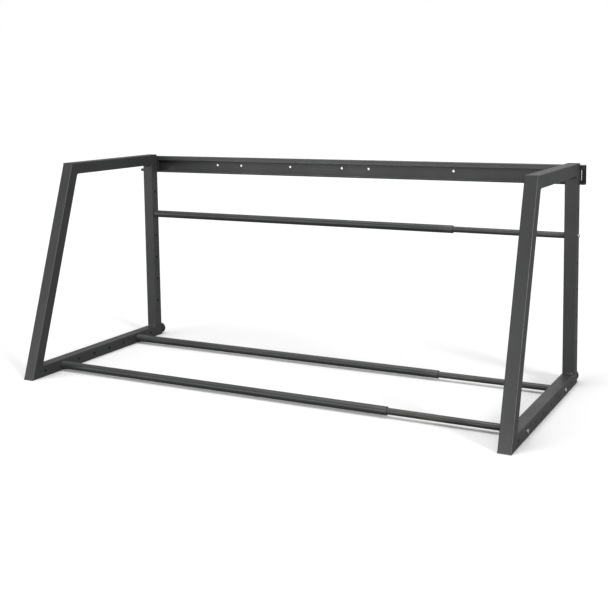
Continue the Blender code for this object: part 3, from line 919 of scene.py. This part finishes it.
def build_wall_rail():
    """The rolled channel: round bends, deburred ends, six screw holes and two slots."""
    low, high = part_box("wall_rail")
    front, back, bottom, top = low.y, high.y, low.z, high.z
    sheet = RAIL_SHEET
    inner = RAIL_BEND - sheet
    lip = RAIL_LIP_ROUNDING
    corners = [
        (front, top - UPPER_LIP, lip), (front, top, RAIL_BEND), (back, top, RAIL_BEND),
        (back, bottom, RAIL_BEND), (front, bottom, RAIL_BEND), (front, bottom + LOWER_LIP, lip),
        (front + sheet, bottom + LOWER_LIP, lip), (front + sheet, bottom + sheet, inner),
        (back - sheet, bottom + sheet, inner), (back - sheet, top - sheet, inner),
        (front + sheet, top - sheet, inner), (front + sheet, top - UPPER_LIP, lip),
    ]
    section = []
    for index, (depth, height, radius) in enumerate(corners):
        before = corners[index - 1][:2]
        after = corners[(index + 1) % len(corners)][:2]
        arc_corner(section, (depth, height), before, after, radius)
    count = len(section)
    shrunk = []
    for index, place in enumerate(section):
        run = Vector(section[(index + 1) % count]) - Vector(section[index - 1])
        normal = Vector((run.y, -run.x)).normalized()
        shrunk.append(Vector(place) + normal * RAIL_END_BREAK)

    def loop(outline, x):
        return [(x, depth, height) for depth, height in outline]

    shape = bmesh.new()
    skin_loops(shape, [
        loop(shrunk, low.x), loop(section, low.x + RAIL_END_BREAK),
        loop(section, high.x - RAIL_END_BREAK), loop(shrunk, high.x),
    ], caps=True)
    blank = finished_mesh("wall_rail_blank", shape)
    middle = (bottom + top) / 2
    places = [
        (RAIL_FIRST_HOLE + step * RAIL_HOLE_MODULE, back, middle) for step in RAIL_HOLE_STEPS]
    tool = pin_tool(places, Y_AXIS, RAIL_HOLE_RADIUS, 0.012)
    slotted = cut_away(cut_away(blank, tool), slot_tool(Vector((0, back, middle))))
    mesh = finished_mesh("wall_rail", opened(slotted))

    def wear_and_highlight(place):
        """Along the front bend and both lips."""
        near_bend = abs(place.y - front) < RAIL_BEND and (top - place.z) < RAIL_BEND
        lips = (top - UPPER_LIP, bottom + LOWER_LIP)
        at_lip = any(abs(place.z - level) < 0.0008 for level in lips)
        return 0.8 if near_bend or at_lip else 0.0

    mark(mesh, "edge", wear_and_highlight)
    add_piece("wall_rail_coated", mesh, "wall_rail", COAT, ["wall_rail"])


# ---------------------------------------------------------------- the whole rack

build_wall_rail()
for side in SIDES:
    places = EndFrame(side)
    build_tubes(places)
    build_welds(places)
    build_cap(side + "_top_cap", places.body, Z_AXIS)
    build_cap(side + "_base_cap", places.body, Y_AXIS, hole_radius=SCREW_CLEARANCE)
    build_buffer(side + "_buffer", places.body)
    build_bolt(
        side + "_buffer_screw", places.body, Y_AXIS, ZINC,
        SCREW_RADIUS, dome_head, SCREW_HEAD_HEIGHT)
    build_bolt(
        side + "_hook_bolt", places.body, -X_AXIS, BLACK_STEEL,
        BOLT_RADIUS, tall_head, TALL_HEAD_HEIGHT)
    softened_copy(
        side + "_hook_block", places.body, HOOK_PAINT, HOOK_ROUNDING, "_painted")
    head_way = -X_AXIS if side == "left" else X_AXIS
    for tube in TUBES:
        build_bolt(
            f"{side}_{tube}_bolt", places.body, head_way, ZINC,
            BOLT_RADIUS, dome_head, DOME_HEIGHT)
        softened_copy(f"{side}_{tube}_plug", places.body, ZINC, PLUG_ROUNDING, "_turned")
for tube in TUBES:
    build_round_tube(tube + "_outer_tube", "left_frame", OUTER_BORE, COAT, OUTER_ROUNDING)
    build_round_tube(tube + "_inner_tube", "right_frame", INNER_BORE, SCUFFED_COAT, INNER_ROUNDING)


# ---------------------------------------------------------------- floor, light, camera

FLOOR_SIZE = 60.0
FLOOR_SHOWN = 0.95
FLOOR_BOUNCE = 0.22
ROOM_LIGHT = 0.30
# Each lamp: name, direction it stands in, strength, and how wide it looks in degrees
LAMPS = (
    ("overhead", (-0.10, -0.15, 1.0), 1.90, 44),
    ("front_left", (-0.42, -0.90, 0.06), 1.20, 28),
    ("front_right", (0.80, -0.45, 0.26), 2.30, 14),
    ("back", (-0.20, 1.0, 0.80), 0.26, 50),
)
CAMERA_PLACE = Vector((1.5052, -2.79645, 0.9109))
CAMERA_YAW = radians(27.758)
CAMERA_PITCH = radians(6.07)
CAMERA_ROLL = radians(-0.768)
CAMERA_LENS = 60.94
CAMERA_SENSOR = 36.0
CAMERA_SHIFT = -0.171


def build_floor():
    """A plain pale floor, which throws less light back at the rack than it shows."""
    shape = bmesh.new()
    bmesh.ops.create_grid(shape, x_segments=2, y_segments=2, size=FLOOR_SIZE)
    mesh = bpy.data.meshes.new("floor")
    shape.to_mesh(mesh)
    shape.free()
    floor = bpy.data.objects.new("floor", mesh)
    bpy.context.scene.collection.objects.link(floor)
    paper = Surface("floor_paper", (FLOOR_SHOWN,) * 3, 0.9, specular=0.1)
    path = paper.tree.nodes.new("ShaderNodeLightPath").outputs["Is Camera Ray"]
    paper.colour(paper.blend(path, (FLOOR_BOUNCE,) * 3, (FLOOR_SHOWN,) * 3))
    mesh.materials.append(paper.material)


def build_light():
    """A bright even room with a broad light overhead and softer ones at the sides."""
    world = bpy.data.worlds.new("studio")
    bpy.context.scene.world = world
    world.use_nodes = True
    tree = world.node_tree
    seen = tree.nodes["Background"]
    seen.inputs["Color"].default_value = (1, 1, 1, 1)
    seen.inputs["Strength"].default_value = 1.0
    lit = tree.nodes.new("ShaderNodeBackground")
    lit.inputs["Color"].default_value = (1, 1, 1, 1)
    lit.inputs["Strength"].default_value = ROOM_LIGHT
    mix = tree.nodes.new("ShaderNodeMixShader")
    path = tree.nodes.new("ShaderNodeLightPath")
    tree.links.new(path.outputs["Is Camera Ray"], mix.inputs["Fac"])
    tree.links.new(lit.outputs[0], mix.inputs[1])
    tree.links.new(seen.outputs[0], mix.inputs[2])
    tree.links.new(mix.outputs[0], tree.nodes["World Output"].inputs["Surface"])
    for name, direction, strength, spread in LAMPS:
        data = bpy.data.lights.new(name, "SUN")
        data.energy = strength
        data.angle = radians(spread)
        lamp = bpy.data.objects.new(name, data)
        lamp.rotation_mode = "QUATERNION"
        lamp.rotation_quaternion = Vector(direction).to_track_quat("Z", "Y")
        bpy.context.scene.collection.objects.link(lamp)


def build_camera():
    """The photograph's viewpoint."""
    forward = Vector((
        -sin(CAMERA_YAW) * cos(CAMERA_PITCH),
        cos(CAMERA_YAW) * cos(CAMERA_PITCH),
        -sin(CAMERA_PITCH)))
    level = Vector((cos(CAMERA_YAW), sin(CAMERA_YAW), 0))
    upright = level.cross(forward)
    right = cos(CAMERA_ROLL) * level + sin(CAMERA_ROLL) * upright
    up = cos(CAMERA_ROLL) * upright - sin(CAMERA_ROLL) * level
    data = bpy.data.cameras.new("photo_view")
    data.lens = CAMERA_LENS
    data.sensor_width = CAMERA_SENSOR
    data.shift_y = CAMERA_SHIFT
    data.clip_end = 500
    camera = bpy.data.objects.new("photo_view", data)
    columns = Matrix((right, up, -forward)).transposed().to_4x4()
    camera.matrix_world = Matrix.Translation(CAMERA_PLACE) @ columns
    bpy.context.scene.collection.objects.link(camera)
    bpy.context.scene.camera = camera


build_floor()
build_light()
build_camera()
bpy.context.scene.view_settings.view_transform = "Standard"
